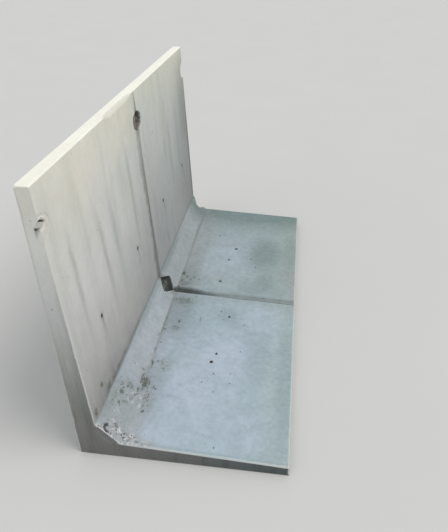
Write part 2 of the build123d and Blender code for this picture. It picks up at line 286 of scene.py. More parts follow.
inner_foot = face_lengths[INNER]
weather = {
    "soil": {HEEL: [
        (80, -1675, 20, 26, 62), (70, -1620, 22, 30, 53), (120, -1600, 50, 80, 48), (90, -1510, 18, 65, 60),
        (112, -1405, 22, 28, 58), (30, -1350, 38, 90, 62), (30, -1130, 14, 75, 60), (150, -1120, 100, 140, 47),
        (75, -1085, 22, 32, 53), (10, -925, 16, 32, 58), (40, -635, 22, 26, 60), (130, -600, 60, 50, 54),
        (10, -500, 14, 400, 50), (150, -490, 26, 26, 64), (830, -445, 25, 30, 48), (350, -425, 14, 55, 61),
        (120, -150, 150, 80, 53), (60, 170, 100, 60, 52), (30, 215, 32, 45, 57), (120, 250, 22, 34, 60),
        (455, 288, 16, 42, 62), (150, 300, 20, 28, 60), (75, 300, 22, 34, 63), (22, 350, 30, 55, 66),
        (8, 1200, 12, 700, 42),
    ], HAUNCH: [
        (50, -1700, 35, 150, 47), (110, -1690, 20, 22, 62), (145, -1662, 22, 20, 60), (180, -1640, 20, 20, 56),
        (98, -1585, 30, 32, 63), (80, -1510, 22, 30, 57), (160, -1470, 50, 60, 52), (240, -1455, 20, 45, 62),
        (240, -1330, 22, 90, 59), (225, -1235, 45, 45, 52), (246, -735, 14, 36, 60),
    ], INNER: [
        (78, -1948, 55, 34, 63), (172, -1762, 40, 30, 68), (50, -1650, 34, 46, 60), (36, -1550, 22, 40, 57),
        (40, -1410, 24, 50, 57), (45, -1250, 22, 45, 52), (511.6, -515, 18, 25, 52), (1431.6, 425, 6, 40, 60),
    ]},
    # Damp, and at the wall's far end (rows near 2000 mm along) painted shade where a neighbouring structure shades it
    "damp_and_shade": {HEEL: [
        (650, -1990, 800, 20, 28), (110, -1400, 90, 200, 32), (1240, -1100, 80, 800, 28), (970, -900, 100, 320, 26),
        (120, -350, 150, 350, 50), (620, -320, 120, 120, 32), (820, 180, 110, 140, 36), (100, 280, 120, 300, 36),
        (940, 300, 90, 200, 48), (1000, 330, 70, 200, 35), (920, 960, 180, 320, 70), (1220, 1050, 100, 400, 36),
        (0, 1500, 22, 500, 30), (650, 2050, 950, 420, 100),
    ], HAUNCH: [
        (120, -1720, 200, 260, 62), (0, -1200, 12, 800, 62), (18, -450, 36, 420, 52), (18, 450, 36, 500, 58),
        (251.6, 1500, 20, 500, 30), (120, 1980, 250, 320, 100),
    ], INNER: [
        (110, -1620, 150, 280, 22), (0, -1100, 50, 550, 60), (1061.6, -930, 150, 90, 10), (0, 700, 22, 1400, 50),
        (1321.6, 1850, 300, 120, 30), (791.6, 1985, 800, 60, 90),
    ]},
    "bloom": {HEEL: [
        (250, -1880, 180, 90, 60), (900, -1700, 260, 200, 30), (400, -1360, 260, 360, 90),
        (640, -960, 220, 260, 100), (340, -920, 120, 160, 50), (110, -900, 60, 200, 60), (1000, -330, 220, 200, 40),
        (300, 520, 120, 160, 55), (480, 820, 200, 340, 62),
    ]},
    "crust": {HEEL: [
        (340, -1985, 120, 22, 60), (180, -1975, 120, 35, 90), (50, -1950, 120, 75, 100), (50, -1700, 90, 300, 76),
        (60, -1560, 70, 130, 88),
    ], HAUNCH: [
        (150, -1930, 125, 105, 100), (120, -1790, 110, 80, 82), (130, -1700, 150, 300, 76),
        (200, -1560, 60, 130, 88),
    ], INNER: [
        (0, -1980, 40, 30, 70),
    ]},
}
water_runs = [
    (-1740, 30, 1980, 620, 32, 82), (-1250, 90, 1880, 660, 36, 84), (-985, 90, 1920, 600, 52, 56),
    (-640, 20, 1980, 1400, 70, 34), (-430, 20, 2020, 720, 34, 76), (-1950, 0, 1750, 550, 35, 30),
    (200, 0, 1400, 500, 60, 30), (800, 20, 1650, 1200, 50, 40), (1010, 50, 1850, 600, 50, 55),
    (1420, 0, 1950, 450, 90, 40), (520, 50, 640, 380, 30, 60),
]


def spread(patches, face, down, y):
    """The strongest patch at each place, from each face's rows of distance down it, or up from its foot on the stem's
    inner face, place along the wall, size down and size along, in mm, and strength in hundredths."""
    total = 0 * face * y
    for on_face, rows in patches.items():
        from_start = inner_foot - down if on_face == INNER else down
        for *place, strength in rows:
            place = np.array(place) / 1000
            here = held(1.4 * spot(from_start, y, place[:2], place[2:]))
            total = np.maximum(total, strength / 100 * here * (face == on_face))
    return total


def run_down(face, y, z):
    """Where water ran down the stem, from rows of place along the wall, lean, top, foot and width in mm, and strength
    in hundredths. A run is a bell across a line that leans and wavers as it falls, and fades in and out."""
    waver, fades_in, fades_out = 0.03, 0.25, 0.5
    total = 0 * face * y
    for *sizes, strength in water_runs:
        at_y, lean, top, foot, width = np.array(sizes) / 1000
        fallen = held((top - z) / (top - foot))
        across = y - at_y - lean * fallen + waver * (broken(z, at_y + 0 * y, 0.12, 64) - 0.5)
        here = np.exp(-(across / width) ** 2) * held(fallen / fades_in) * held((1 - fallen) / fades_out)
        total = np.maximum(total, strength / 100 * here)
    return total * (face == INNER)


def stained(face, down, z, y, joint_y, lifting_y):
    """Grey-brown stain: a ragged band down the stem's joint, widest on the near unit, a soft band across the heel's
    joint, drips at the near foot of the stem, and a streak that widens and fades below each lifting socket. With it,
    a dark line of painted shade in the crease where the stem meets the haunch."""
    from_joint, on_near = np.abs(y - joint_y), joint_y < 0
    heights = (0.35, 0.6, 0.9, 1.2, 1.5, 1.7, 1.88, 1.94, 2.02, 2.1, 2.17, 2.25)
    near_widths = (0.07, 0.076, 0.062, 0.064, 0.09, 0.1, 0.098, 0.074, 0.064, 0.046, 0.034, 0.02)
    far_widths = (0.06, 0.055, 0.035, 0.014, 0.01, 0.008, 0.012, 0.018, 0.022, 0.018, 0.014, 0.008)
    strengths = (0.76, 0.8, 0.82, 0.8, 0.78, 0.64, 0.52, 0.84, 0.84, 0.86, 0.76, 0.26)
    width = np.interp(z, heights, near_widths if on_near else far_widths)
    width = width * (0.65 + 0.7 * broken(z, 0 * y + joint_y, 0.05, 61))
    stain = np.interp(z, heights, strengths) * np.exp(-(from_joint / width) ** 4) * np.isin(face, (INNER, HAUNCH))

    centre, spill, most = (0, 0.008, 0.2) if on_near else (0.031, 0.036, 1)
    heel_band = most * np.interp(down, (0.3, 0.55, 0.8, 1, 1.2), (0.2, 0.62, 0.6, 0.8, 0.8))
    heel_band = heel_band * np.exp(-((from_joint - centre) / spill) ** 2)
    stain = stain + heel_band * (0.5 + broken(down, y, 0.06, 65)) * (face == HEEL)

    # Painted shade in the crease where the stem meets the haunch
    from_fold = np.where(face == INNER, inner_foot - down, np.where(face == HAUNCH, down, 1))
    reach = np.where(face == INNER, np.interp(y, (-1.6, -1.2, -0.7), (0.062, 0.038, 0.018)), 0.01)
    fold_shade = np.interp(y, (-2, -1.85, -1.7, -1.4, -1, -0.7, -0.45, 0.2),
                          (0.1, 0.35, 0.66, 0.5, 0.44, 0.28, 0.58, 0.4))
    fold_shade = 0.66 * fold_shade * np.exp(-(from_fold / reach) ** 2)
    stain = stain + fold_shade * (0.35 + 1.1 * broken(0 * z, y, 0.07, 62))
    drips = held((uneven(0.12 * z, y, 0.016, 63) - 0.45) * 4)
    stain = stain + 0.55 * drips * spot(z, y, (0.38, -1.62), (0.14, 0.14)) * (face == INNER)

    below, lean = np.clip(lifting_z - z, 0, None), 0.12 if on_near else 0.38
    for at_y in lifting_y:
        streak = np.exp(-((y - at_y - lean * below) / (0.014 + 0.05 * below)) ** 2 - below / 0.11) * (z < lifting_z)
        streak = np.maximum(streak, 0.7 * spot(z, y, (lifting_z, at_y), (0.03, 0.03)))
        stain = np.maximum(stain, np.where(face == INNER, streak, 0))
    return held(stain)


# Finish of the castings: grey concrete. The stem and the ends keep the smooth face of the form, streaked below, and
# the heel and haunch are trowelled by hand. Light is painted into the colour: a sunlit pale top, shade darkening the
# stem's foot, its far end and the ends, and blue skylight on the heel and haunch.


class Value:
    """A number or colour over the surface, held by a shader socket. Sums with it become nodes."""

    def __init__(self, socket):
        self.socket = socket

    __add__ = __radd__ = lambda self, other: reckon("ADD", self, other)
    __mul__ = __rmul__ = lambda self, other: reckon("MULTIPLY", self, other)
    __sub__ = lambda self, other: reckon("SUBTRACT", self, other)
    __rsub__ = lambda self, other: reckon("SUBTRACT", other, self)
    __truediv__ = lambda self, other: reckon("DIVIDE", self, other)


def add_node(kind, values, output=0, tree=None, **settings):
    """One output of a new shader node, added to the tree of its values. Values maps an input's name or number to a
    plain number or colour, or to the value feeding it."""
    tree = tree or next(value.socket.id_data for value in values.values() if isinstance(value, Value))
    made = tree.nodes.new("ShaderNode" + kind)
    for label, setting in settings.items():
        setattr(made, label, setting)
    for label, value in values.items():
        if isinstance(value, Value):
            tree.links.new(value.socket, made.inputs[label])
        else:
            made.inputs[label].default_value = value
    return Value(made.outputs[output])


def reckon(operation, *values):
    """The result of one sum on numbers."""
    return add_node("Math", dict(enumerate(values)), operation=operation)


def clip(result):
    """The result of a sum, held from 0 to 1."""
    result.socket.node.use_clamp = True
    return result


def summed(start, *parts):
    """The start with each part's value, counted from its middle of 0.5, added in its weight."""
    for value, weight in parts:
        start = (value - 0.5) * weight + start
    return start


def rising(value, low, high):
    """0 below the low value, 1 above the high one."""
    return add_node("MapRange", {"Value": value, "From Min": low, "From Max": high},
                    interpolation_type="SMOOTHSTEP")


def seen(red, green, blue):
    """A colour as seen on a screen, 0 to 255, turned into the linear values that a shader takes."""
    share = np.array([red, green, blue]) / 255
    linear = np.where(share <= 0.04045, share / 12.92, ((share + 0.055) / 1.055) ** 2.4)
    return (*linear, 1.0)


def coated(tone, *coats):
    """The tone under coats laid on in turn, each a colour, as it is seen where it is plain, and then its mask."""
    for colour, mask in zip(coats[::2], coats[1::2]):
        tone, colour = (each if isinstance(each, Value) else seen(*each) for each in (tone, colour))
        tone = add_node("Mix", {0: mask, 6: tone, 7: colour}, 2, data_type="RGBA")
    return tone


def tinted(tone, *tints):
    """The tone with tints laid over it, each the shares of red, green and blue kept, as seen, and then its mask."""
    for kept, mask in zip(tints[::2], tints[1::2]):
        tint = (*(share ** 2.2 for share in kept), 1.0)
        tone = add_node("Mix", {0: mask, 6: tone, 7: tint}, 2, data_type="RGBA", blend_type="MULTIPLY")
    return tone


def lit(tone, light):
    """The tone made lighter or darker."""
    return add_node("HueSaturation", {"Value": light, "Color": tone})


def toned(share, *stops):
    """A colour that follows a share through the stops, each a (share, red, green, blue) as seen."""
    tone = add_node("ValToRGB", {0: share})
    ramp = tone.socket.node.color_ramp.elements
    ramp[0].color, ramp[1].color = seen(*stops[0][1:]), seen(*stops[-1][1:])
    for at, *colour in stops[1:-1]:
        ramp.new(at).color = seen(*colour)
    return tone


def stretched(place, *factors):
    """The place with its numbers multiplied, which draws a pattern out where a factor is small."""
    return add_node("VectorMath", {0: place, 1: factors}, operation="MULTIPLY")


def coordinates(place):
    """How far the place is across the wall, along it and up it."""
    return [Value(output) for output in add_node("SeparateXYZ", {0: place}).socket.node.outputs]


def shared_effect(output, **numbers):
    """Makes a recipe a shader node group with a vector and these numbers as inputs, placed by calling it."""

    def build(recipe):
        tree = bpy.data.node_groups.new(recipe.__name__, "ShaderNodeTree")
        tree.interface.new_socket("Vector", in_out="INPUT", socket_type="NodeSocketVector")
        for label, value in numbers.items():
            tree.interface.new_socket(label, in_out="INPUT", socket_type="NodeSocketFloat").default_value = value
        tree.interface.new_socket(output, in_out="OUTPUT", socket_type="NodeSocketFloat")
        given = tree.nodes.new("NodeGroupInput").outputs
        result = recipe(*(Value(given[label]) for label in ("Vector", *numbers)))
        tree.links.new(result.socket, tree.nodes.new("NodeGroupOutput").inputs[output])
        return lambda *values: add_node("Group", dict(enumerate(values)), node_tree=tree)

    return build


@shared_effect("Value", Scale=3.0, Contrast=1.5)
def mottled(place, scale, contrast):
    """Cloudy patches: layered noise, spread round the middle by the contrast."""
    noise = add_node("TexNoise", {"Vector": place, "Scale": scale, "Detail": 6.0, "Roughness": 0.62}, "Fac")
    return clip((noise - 0.5) * contrast + 0.5)


@shared_effect("Mask", Scale=30.0, Share=0.3, Size=0.25)
def air_holes(place, scale, share, size):
    """Round air holes with crisp rims: one in some of the cells, each with its own size."""
    crispness = 14.0
    distance = add_node("TexVoronoi", {"Vector": place, "Scale": scale}, "Distance")
    chance = add_node("SeparateColor", {0: Value(distance.socket.node.outputs["Color"])})
    radius = clip(share - chance) / share * size
    return clip((radius - distance) * crispness)


@shared_effect("Mask", Amount=0.5, Scale=40.0)
def grime(place, amount, scale):
    """Dirt in crusts and specks: an amount broken up by noise into a mask with crisp edges."""
    crispness, onset = 7.0, 3.0
    noise = add_node("TexNoise", {"Vector": place, "Scale": scale, "Detail": 5.0, "Roughness": 0.7}, "Fac")
    return clip(clip((amount + noise - 1) * crispness) * clip(amount * onset))


class Finish:
    """A new material, with its object coordinates as its place."""

    def __init__(self, name):
        self.material = bpy.data.materials.new(name)
        self.material.use_nodes = True
        self.tree = self.material.node_tree
        self.tree.nodes.clear()
        self.place = add_node("TexCoord", {}, "Object", self.tree)

    def written(self, label):
        """What is written on the mesh's vertices under a name."""
        return add_node("Attribute", {}, "Fac", self.tree, attribute_name=label)

    def laid(self, tone, roughness, relief=None, strength=0.0, depth=0.0, shine=0.5, metallic=0.0):
        """The material, with its shader's inputs fed and the relief turned into its normal."""
        inputs = {"Base Color": tone, "Roughness": roughness, "Specular IOR Level": shine, "Metallic": metallic}
        if relief:
            inputs["Normal"] = add_node("Bump", {"Height": relief, "Strength": strength, "Distance": depth})
        shader = add_node("BsdfPrincipled", inputs)
        self.tree.links.new(shader.socket, self.tree.nodes.new("ShaderNodeOutputMaterial").inputs[0])
        return self.material


finish = Finish("weathered_concrete")
place, written = finish.place, finish.written
across, along, height = coordinates(place)
# Each face's tone, with light and shade painted in: the stem, the blue-grey heel and haunch, and the shaded ends
up_stem, up_wall = clip((height - haunch_top) / (wall_height - haunch_top)), clip(height / wall_height)
# The stem from a dull foot to a pale cream top, creamier on the near unit: painted shade low down and on the far
# unit, painted warm light at the top
near_stem = toned(up_stem, (0, 157, 156, 153), (0.18, 177, 176, 172), (0.33, 191, 190, 187),
                  (0.54, 207, 206, 203), (0.75, 213, 212, 206), (1, 227, 223, 211))
far_stem = toned(up_stem, (0, 160, 163, 161), (0.18, 162, 165, 163), (0.33, 168, 171, 169),
                 (0.54, 179, 182, 180), (0.75, 193, 195, 191), (1, 211, 211, 199))
below_top = clip(1 - reckon("POWER", up_stem, 9))
# Painted shade at the stem's far end, where a neighbouring structure shades it
far_end_shade = rising(along, 1.15, 1.9) * below_top * (rising(height, 0.9, 1.4) * 0.3 + 0.7)
haze, to_far = mottled(place, 1.3, 2.6), rising(along, -0.5, 0.4)
clear = clip(1 - haze)
# Over the stem: the far end's painted shade, a warm cream towards the top as painted light, and faint blue and lilac
# tints
inner = tinted(coated(near_stem, far_stem, rising(along, -1.35, 0.3)), (0.84, 0.838, 0.84), far_end_shade,
               (1, 0.99, 0.965), haze * up_stem, (0.98, 0.99, 1), clear * up_stem,
               (0.995, 0.985, 1), clear * clip(1 - up_stem))
# The haunch and heel blue-grey as painted skylight and shade, duller on the far unit, warmer near the stem and
# yellower near the heel's end
haunch = tinted(coated((165, 174, 178), (154, 162, 162), to_far), (1, 0.975, 1), clear * 0.6)
heel = tinted(coated((165, 180, 189), (158, 170, 174), to_far), (1, 0.965, 0.965),
              1 - rising(across, -0.44, -0.16), (0.985, 0.985, 0.955), rising(across, 0.4, 0.75))
# The ends in painted shade: darker towards the foot and towards the heel's end
end = toned(up_wall, (0, 112, 112, 109), (0.17, 129, 128, 126), (0.3, 151, 150, 147),
            (0.48, 170, 170, 168), (0.65, 193, 193, 192), (0.83, 212, 212, 206), (1, 218, 215, 205))
end = tinted(end, (0.74, 0.79, 0.82), rising(across, outer_x, heel_end_x + 0.1))
tone = coated((134, 133, 129), (190, 188, 181), up_wall, inner, written("is_inner"), haunch, written("is_haunch"),
              heel, written("is_heel"), end, written("is_end"))

# Clouds, trowel strokes, streaks and runs
upright, crust, soil = written("upright"), written("crust"), written("soil")
clouds, patches = mottled(place, 1.9, 1.7), mottled(place, 7, 2)
blots, grain = mottled(place, 22, 2.2), mottled(place, 140, 1.8)
strokes = mottled(stretched(place, 5, 30, 30), 1, 2)
sheets = mottled(stretched(place, 3, 3, 0.45), 1, 2.2)
light = summed(1, (clouds, 0.1), (patches, 0.1), (blots, 0.05), (grain, 0.07))
light = clip(1 - upright) * summed(0, (blots, 0.15), (patches, 0.1)) + light
light = written("is_heel") * summed(0, (strokes, 0.06)) + light
light = upright * summed(0.01, (sheets, -0.12)) + light
streaks = rising(mottled(stretched(place, 8, 8, 0.55), 1, 3), 0.5, 1) * (written("is_inner") * -0.75 + upright)
poured = written("runs") * summed(1, (patches, 1.2), (clouds, 0.8))
tone = tinted(lit(tone, light), (0.86, 0.875, 0.865), reckon("MAXIMUM", streaks, poured))

# Air holes in painted shade, arrises and rims both worn and painted as highlights, the top painted as sunlit, and
# bloom
# Air holes, painted darker as the shade inside them
holes = reckon("MAXIMUM", air_holes(place, 30, 0.07, 0.26), air_holes(place, 6, 0.06, 0.08))
worn_and_highlit = grime(place, written("wear_and_highlight"), 60)
# The top strip painted near white as sunlit
sunlit_top = coated((242, 240, 229), (252, 250, 238), clip(clouds * 1.4 + 0.1))
sunlit_top = tinted(sunlit_top, (0.965, 0.965, 0.96), blots)
bloom = clip(written("bloom") * (patches * 0.9 + 0.25) * (blots * 0.9 + 0.5))
tone = coated(tone, (104, 104, 100), holes * 0.5, (206, 207, 202), worn_and_highlit * 0.6, sunlit_top, written("is_top"),
              (184, 195, 210), bloom * 0.85)

# Damp and painted shade at the far end, stains and crumbled mortar
damp_and_shade = clip(written("damp_and_shade") * summed(1, (patches, 1.1), (clouds, 0.9)))
stain = clip(written("stain") * (blots * 0.5 + 0.55) * 0.8)
caked, limed = grime(place, crust, 16), grime(place, crust * 0.55, 27)
pitted = grime(stretched(place, 1, 1, -1), crust * 0.53, 23)
tone = coated(tinted(tone, (0.77, 0.81, 0.79), damp_and_shade), (88, 88, 83), stain, (165, 169, 173), caked * 0.55,
              (220, 220, 217), limed * 0.78, (106, 107, 106), pitted * 0.72)

# Soil, and painted shade in the hollows
dust = clip(soil * (patches * 0.8 + 0.1))
dirt = reckon("MAXIMUM", grime(place, soil, 34), grime(place, soil * 0.92, 105))
dirt_tone = coated((78, 82, 74), (118, 121, 115), blots)
bits = grime(stretched(place, -1, 1, 1), soil * 0.65, 60)
# Painted shade in pockets, socket rings, the broken trough and the joint gaps, darker low down
hollow = clip(written("hollow") * (patches * 0.3 + 0.8))
shade = coated((66, 72, 68), (104, 100, 91), rising(height, 0.3, 1.9))
tone = coated(tinted(tone, (0.86, 0.87, 0.8), dust), dirt_tone, dirt * 0.85, (150, 138, 132), bits * 0.7,
              shade, hollow)
roughness = 0.92 - hollow * 0.18 - damp_and_shade * 0.12 - patches * 0.08
relief = grain * 0.35 - holes * 1.6 + dirt * 1.5 + (limed - pitted) + blots * 0.5
concrete = finish.laid(tone, roughness, relief, 0.55, 0.0018, shine=0.3)

# Near and far unit: the castings themselves, the near one with a thin worn lip at the joint and the far one broken
# there. Each was lifted out of its form by its sockets once the concrete had set.


def added(data):
    """A new object of this mesh, lamp or camera, with its name."""
    made = bpy.data.objects.new(data.name, data)
    bpy.context.scene.collection.objects.link(made)
    return made


def fitted(mesh, finish):
    """The mesh as a piece of the wall in its finish."""
    mesh.materials.append(finish)
    piece = added(mesh)
    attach(piece, "root")
    return piece


def casting(name, node, start_y, end_y, joint_y, seed, close_heel, breaks):
    """One unit: the L section carried along the wall, each point moved inwards along the section's normal by the
    deepest chip, pocket or break at its place, and by a slight waviness."""
    face, down, point, normal = section_stations(close_heel)
    around = np.concatenate([[0], np.cumsum(np.linalg.norm(np.diff(point, axis=0), axis=1))])
    length, middle_y = end_y - start_y, (start_y + end_y) / 2
    lifting_y = [middle_y - lifting_offset, middle_y + lifting_offset]
    close_along = [(0, 0.155, 0.0042), (length, 0.155, 0.0042)]
    close_along += [(y - start_y, 0.022, 0.004) for y in (*lifting_y, middle_y)]
    y = start_y + spaced(length, 0.024, close_along)[:, None]
    from_end_face = np.minimum(y - start_y, end_y - y) + 0 * around

    cut, from_arris = chipped(face, y, around, from_end_face, seed)
    pocket, rim, ring = recesses(face, down, y, (start_y, end_y), lifting_y)
    broken_off, top_break = breaks(face, down, y, around)
    cut = np.maximum.reduce([cut, pocket, socket_sink * ring, broken_off, top_break])
    wave = 0.0015 * uneven(around, y, 0.45, seed + 30) + 0.0006 * uneven(around, y, 0.09, seed + 31)
    trowelled = 0.0022 * uneven(around, y, 0.22, seed + 32) * (face == HEEL)
    cut = np.where(face == BASE, 0, cut + wave + trowelled)
    x, z = (point[:, axis] - normal[:, axis] * cut for axis in (0, 1))
    inset = 0.01
    rims = [np.stack([np.clip(x[row] - normal[:, 0] * inset, outer_x + inset, heel_end_x - inset), at_y + 0 * x[row],
                      np.clip(z[row] - normal[:, 1] * inset, inset, wall_height - inset)], axis=1)
            for row, at_y in ((0, start_y), (-1, end_y))]

    filled = (y < near_low.y + 0.5) + 0 * around
    openness = np.where(filled > 0, 0, np.where(y > far_high.y - 0.5, 0.8, 1))
    # Painted shade: open pockets, socket rings, the far unit's broken trough (dirt and shade) and the stem's joint
    # gap, fading up the stem
    depth_of_line = np.interp(z, (1.2, 2), (0.5, 0.15))
    line = depth_of_line * held((0.0095 - np.abs(y - joint_y)) / 0.003) * np.isin(face, (INNER, HAUNCH))
    trough_dirt_and_shade = np.interp(down, (0.22, 0.36, 0.52), (1, 0.78, 0.45)) * held(broken_off / 0.016)
    hollow = np.maximum.reduce([held(pocket / 0.012) * openness, trough_dirt_and_shade, 0.75 * ring, line])

    # Lighter edges: arrises, end edges, pocket rims and the heel's near edge, partly real wear and partly painted
    # highlight
    arris_wear_and_highlight = held(1 - from_arris / 0.022)
    end_wear_and_highlight = 0.9 * held(1 - from_end_face / 0.016)
    edge_reach = np.where(face == HAUNCH, np.interp(down, (0, 0.05, 0.12), (0.08, 0.055, 0.035)),
                          np.interp(down, (0, 0.12, 0.3), (0.07, 0.06, 0.034)))
    near_edge = held(1 - (y - near_low.y) / edge_reach) * np.isin(face, (HEEL, HAUNCH))
    in_filling = (pocket > 0.003) * filled * (from_end_face < 0.001)
    wear_and_highlight = np.maximum.reduce([arris_wear_and_highlight, end_wear_and_highlight, rim, near_edge, 0.5 * held(top_break / 0.006)])
    wear_and_highlight = wear_and_highlight * (face != BASE) * (1 - in_filling)

    none, full = ((np.full(len(point), share),) * 2 for share in (0.0, 1.0))
    # Painted shade on the end faces in the joint gap, fading towards the heel's end
    open_joint = depth_of_line[0] * np.interp(point[:, 0], (outer_x + 0.75, outer_x + 1), (1.6, 0))
    into_heel = held(down / 0.03)
    # Where the top is painted as sunlit, less so where its arris broke
    top = np.isin(face, (TOP, INNER_CHAMFER, OUTER_CHAMFER)) * (1 - 0.45 * held(top_break / 0.012))
    mesh = closed_mesh(name, np.stack([x, y + 0 * x, z], axis=-1), rims, {
        **{label: (spread(patches, face, down, y), none) for label, patches in weather.items()},
        "wear_and_highlight": (wear_and_highlight, none), "hollow": (hollow, [open_joint * (end == joint_y) for end in (start_y, end_y)]),
        "stain": (stained(face, down, z, y, joint_y, lifting_y), none), "runs": (run_down(face, y, z), none),
        "upright": (np.isin(face, (OUTER, INNER, HEEL_END)), full), "is_inner": (face == INNER, none),
        "is_haunch": ((face == HAUNCH) + (face == HEEL) * (1 - into_heel), none),
        "is_heel": (np.where(face == HEEL, into_heel, face == HEEL_CHAMFER), none),
        "is_top": (top, none), "is_end": (in_filling, full),
    })
    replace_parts(fitted(mesh, concrete), node)


casting("near_casting", "near_unit", near_low.y, near_high.y, near_high.y, 100, [], near_breaks)
casting("far_casting", "far_unit", far_low.y, far_high.y, far_low.y, 200, [(0.15, 0.16, 0.009)], far_breaks)

# Mortar in three of the pockets: cement mortar trowelled round the connection, grey and sunk over the near end of
# the upper plate, and level with the face in the two pockets at the near end, where a hole is left over the socket.


def above_face(face, down, y, height):
    """Points from a distance down a face, a place along the wall and a height square to the face."""
    start, way = corners[face], face_ways[face]
    return np.stack([start[..., 0] + down * way[..., 0] - height * way[..., 1], y + 0 * down,
                     start[..., 1] + down * way[..., 1] + height * way[..., 0]], axis=-1)


def mortar_lump(name, node, shape, from_y, along_sign, cover, roughness, opening, finish):
    """A pocket's filling: strips across the pocket, each a closed loop with an uneven top that dips at the pocket's
    outline and a flat bottom on its floor. The opening gives how far the top is sunk and how much lime is there."""
    strips, over, under, slope = 64, 96, 12, 1.5
    half_width = shape["mouth"] / 2 + 0.006
    along = np.linspace(0.0004, shape["run"] + 0.004, strips)[:, None]
    across = np.linspace(-half_width, half_width, over)[None, :]
    outside = np.clip(-0.001 - inside_pocket(along, across, shape), 0, None)
    lumps = broken(across + 5, along + along_sign, 0.022, 301) - 0.5
    grit = broken(across + 5, along + along_sign, 0.007, 302) - 0.5
    sinking, lime = opening(along, across)
    top = roughness * (lumps + 0.25 * grit) - cover - slope * outside - sinking
    top = np.clip(top, 0.0008 - shape["depth"], -0.0006)
    shadow = np.interp(sinking, (0.004, 0.01, 0.012, 0.024), (0, 0.35, 0.35, 1))

    def closed(over_top, underneath):
        """The values over each strip's top and then back along its bottom."""
        return np.concatenate([over_top + 0 * top, underneath + np.zeros((strips, under))], axis=1)

    across = closed(across, np.linspace(half_width, -half_width, under))
    depth = closed(top, -shape["depth"] - 0.003)
    lime, shadow = closed(lime, 0), closed(shadow, 0)
    rows = above_face(shape["face"], shape["centre"] + across, from_y + along_sign * along, depth)
    rows, lime, shadow = (values[::along_sign] for values in (rows, lime, shadow))
    rims = [0.04 * rows[row].mean(axis=0, keepdims=True) + 0.96 * rows[row] for row in (0, -1)]
    none, full = 0 * lime[0], 1 + 0 * lime[0]
    mesh = closed_mesh(name, rows, rims, {
        "lime": (lime, (none, none)), "hollow": (shadow, (shadow[0], shadow[-1])), "on_end": (0 * lime, (full, full)),
    })
    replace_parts(fitted(mesh, finish), node)


def mortar_material(name, body, patch, pale, dark, end, hollow_shade_tone, speckled, fineness):
    """Coarse mortar: sandy, with patches, pale specks, dark spots, painted shade in hollows and shaded ends."""
    finish = Finish(name)
    place, written = finish.place, finish.written
    sand = mottled(place, 240, 2)
    limed = grime(place, 0.48, 62 * fineness)
    pitted = grime(stretched(place, 1, 1, -1), 0.45, 52 * fineness)
    whitened = reckon("MAXIMUM", limed * speckled, grime(place, written("lime"), 80))
    tone = coated(body, patch, mottled(place, 26, 2.2), pale, whitened * 0.85, dark, pitted * (0.65 * speckled))
    tone = coated(lit(tone, sand * 0.2 + 0.9), end, written("on_end"), hollow_shade_tone, written("hollow") * 0.8)
    return finish.laid(tone, 0.95 - sand * 0.1, sand * 0.6 + (limed - pitted) * speckled, 0.6, 0.0018)


def stem_opening(along, across):
    """A shallow hollow over the socket, a dark slit along its upper edge, a notch in the end and lime on its rim."""
    rim = np.hypot((across + 0.016) / 0.039, np.clip(along - 0.03, 0, None) / 0.036)
    hollow = 0.01 * held((1 - rim) * 3)
    slit_from, slit_to = 0.01, 0.064
    share = held((along - slit_from) / (slit_to - slit_from))
    past_slit = np.clip(slit_from - along, 0, None) + np.clip(along - slit_to, 0, None)
    slit = 0.034 * held((0.0075 - np.hypot(across + 0.046 - 0.027 * share, past_slit)) / 0.003)
    notch = 0.038 * held((1 - np.hypot((across - 0.007) / 0.012, along / 0.02)) * 3)
    lime = 0.9 * np.exp(-((rim - 1.15) / 0.16) ** 2) * held((-across - 0.03) / 0.015)
    return np.maximum.reduce([hollow, slit, notch]), lime


def haunch_opening(along, across):
    """A crescent-shaped gap round a plug of crumbled mortar over the near socket, with lime round it."""
    away, aside = along - socket_setback, across + 0.02
    from_socket = np.hypot(aside, away)
    facing = held((np.abs(np.angle(np.exp(1j * (np.arctan2(aside, away) - 1.15)))) - 1) / 0.3)
    gap = 0.03 * held((0.0125 - np.abs(from_socket - 0.027)) / 0.005) * facing
    plug = 0.004 * held((0.024 - from_socket) / 0.004)
    lime_round_gap = 0.55 * np.exp(-((from_socket - 0.048) / 0.008) ** 2)
    return np.maximum(gap, plug), np.maximum(lime_round_gap, 0.9 * np.exp(-(along / 0.012) ** 2))


damp_mortar = mortar_material("damp_mortar", (120, 115, 105), (96, 92, 83), (150, 147, 138), (78, 75, 68),
                              (90, 88, 82), (74, 74, 72), 1, 1)
pale_mortar = mortar_material("pale_mortar", (165, 169, 173), (150, 154, 157), (212, 212, 211), (112, 113, 113),
                              (116, 116, 115), (74, 74, 72), 1, 0.5)
grey_mortar = mortar_material("grey_mortar", (217, 214, 204), (206, 205, 198), (238, 235, 226), (150, 150, 146),
                              (214, 213, 206), (112, 112, 109), 0.15, 1)
# The upper one has nothing left open and some lime all over
mortar_lump("upper_mortar", "upper_pocket_mortar", upper_pocket, near_high.y, -1, 0.016, 0.014,
            lambda along, across: (0, 0.5), damp_mortar)
mortar_lump("near_stem_filling", "near_stem_mortar", upper_pocket, near_low.y, 1, 0.0025, 0.003, stem_opening,
            grey_mortar)
mortar_lump("near_mortar_crust", "near_haunch_mortar", lower_pocket, near_low.y, 1, 0.0035, 0.006, haunch_opening,
            pale_mortar)

